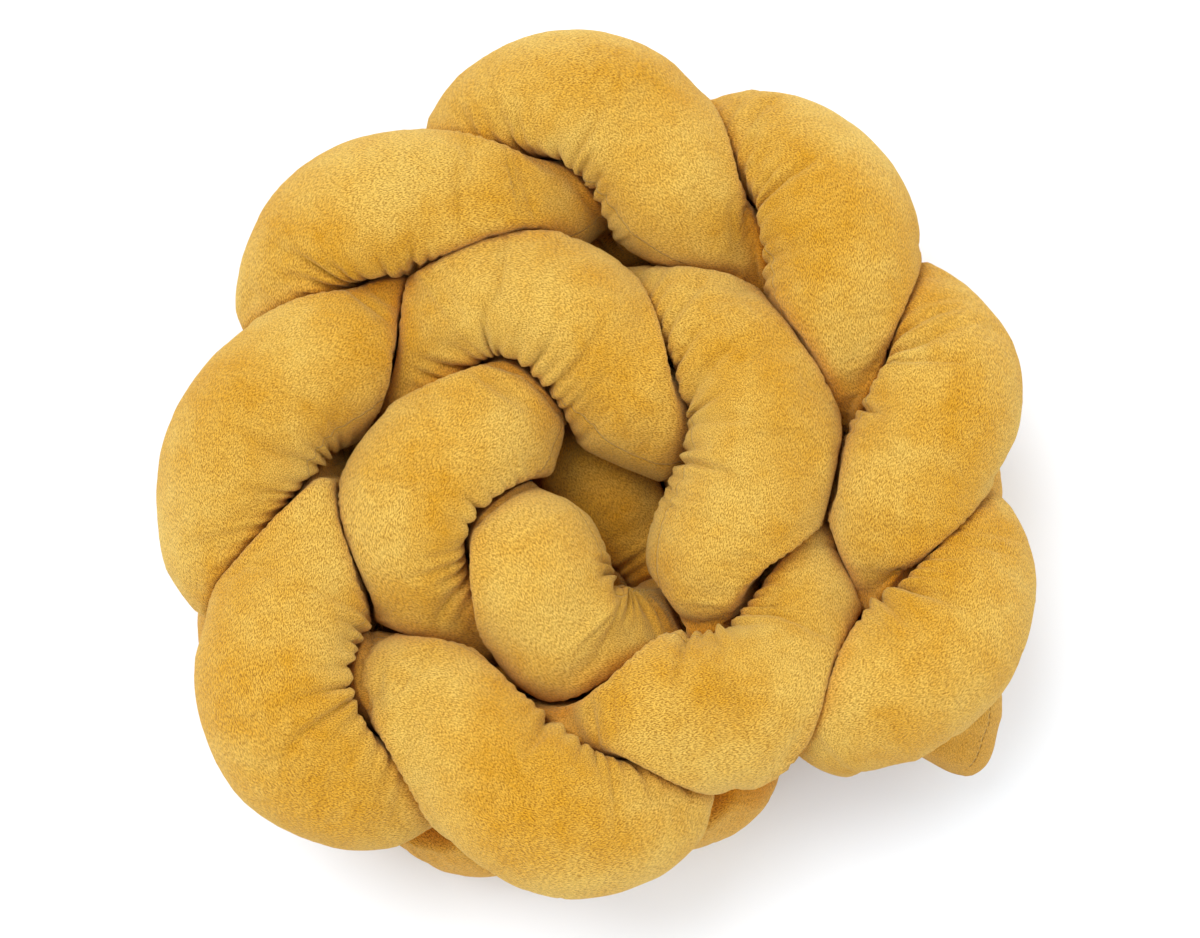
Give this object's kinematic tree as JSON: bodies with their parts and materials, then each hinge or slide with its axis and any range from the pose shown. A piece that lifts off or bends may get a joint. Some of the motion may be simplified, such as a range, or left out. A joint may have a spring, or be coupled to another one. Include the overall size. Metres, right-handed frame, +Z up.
{
  "type": "knot crib bumper",
  "caption": "Plaited crib bumper of stuffed mustard plush tubes, wound into a spiral coil that stands on its edge like a cushion.",
  "frame": {"origin": "on the floor, under the middle of the coil's outline", "axes": "+Z up, through the coil; +X to the right and +Y away from the viewer in the picture, which looks down on the coil"},
  "size_m": [0.5894, 0.5856, 0.209],
  "materials": {
    "plush": "short-pile plush, soft and matt, with a faint sheen along its nap"
  },
  "bodies": {
    "root": {"tube_first": "plush", "tube_second": "plush", "tube_third": "plush"}
  },
  "joints": []
}
